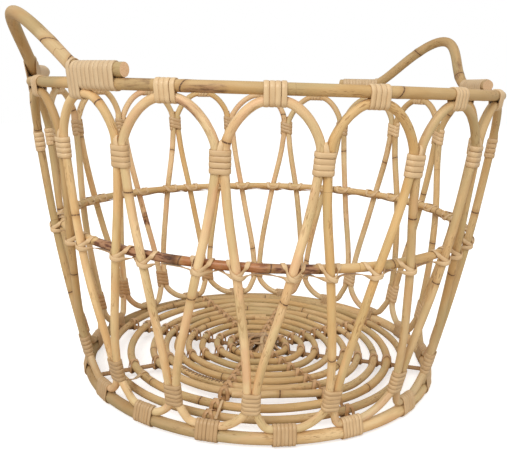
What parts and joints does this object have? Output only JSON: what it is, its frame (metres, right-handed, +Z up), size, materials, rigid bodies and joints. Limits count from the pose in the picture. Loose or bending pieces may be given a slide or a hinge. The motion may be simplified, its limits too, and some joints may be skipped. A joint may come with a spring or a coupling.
{
  "type": "rattan basket",
  "caption": "Open round basket of bent rattan canes: arches under a top rim, a ringed base and two raised handles",
  "frame": {"origin": "On the floor under the middle of the basket.", "axes": "+Z up; the handles stand at -X and +X; +Y along the side between them."},
  "size_m": [0.558, 0.5096, 0.3957],
  "materials": {
    "rim": "satin peeled rattan",
    "base_rim": "satin peeled rattan",
    "wall_cane": "satin peeled rattan",
    "mid_hoop": "rattan with part of its brown skin on",
    "ring": "satin peeled rattan",
    "spoke": "split rattan, reddish brown",
    "peel": "wound rattan peel, smooth",
    "handle": "satin peeled rattan",
    "binding": "wound rattan peel, smooth"
  },
  "bodies": {
    "root": {"wall_cane_01": "wall_cane", "wall_cane_02": "wall_cane", "wall_cane_03": "wall_cane", "wall_cane_04": "wall_cane", "wall_cane_05": "wall_cane", "wall_cane_06": "wall_cane", "wall_cane_07": "wall_cane", "wall_cane_08": "wall_cane", "wall_cane_09": "wall_cane", "wall_cane_10": "wall_cane", "wall_cane_11": "wall_cane", "wall_cane_12": "wall_cane", "wall_cane_13": "wall_cane", "wall_cane_14": "wall_cane", "wall_cane_15": "wall_cane", "wall_cane_16": "wall_cane", "wall_cane_17": "wall_cane", "wall_cane_18": "wall_cane", "shoulder_tie_01": "peel", "shoulder_tie_02": "peel", "shoulder_tie_03": "peel", "shoulder_tie_04": "peel", "shoulder_tie_05": "peel", "shoulder_tie_06": "peel", "shoulder_tie_07": "peel", "shoulder_tie_08": "peel", "shoulder_tie_09": "peel", "shoulder_tie_10": "peel", "shoulder_tie_11": "peel", "shoulder_tie_12": "peel", "shoulder_tie_13": "peel", "shoulder_tie_14": "peel", "shoulder_tie_15": "peel", "shoulder_tie_16": "peel", "shoulder_tie_17": "peel", "shoulder_tie_18": "peel", "rim": "rim", "base_rim": "base_rim", "mid_hoop": "mid_hoop", "spoke_1": "spoke", "spoke_2": "spoke", "spoke_3": "spoke", "spoke_4": "spoke", "base_ring_1": "ring", "base_ring_2": "ring", "base_ring_3": "ring", "base_ring_4": "ring", "base_ring_5": "ring", "base_ring_6": "ring", "base_ring_7": "ring", "base_ring_8": "ring", "base_ring_9": "ring", "handle_1": "handle", "handle_2": "handle", "handle_binding_1": "binding", "handle_binding_2": "binding", "handle_binding_3": "binding", "handle_binding_4": "binding"}
  },
  "joints": []
}
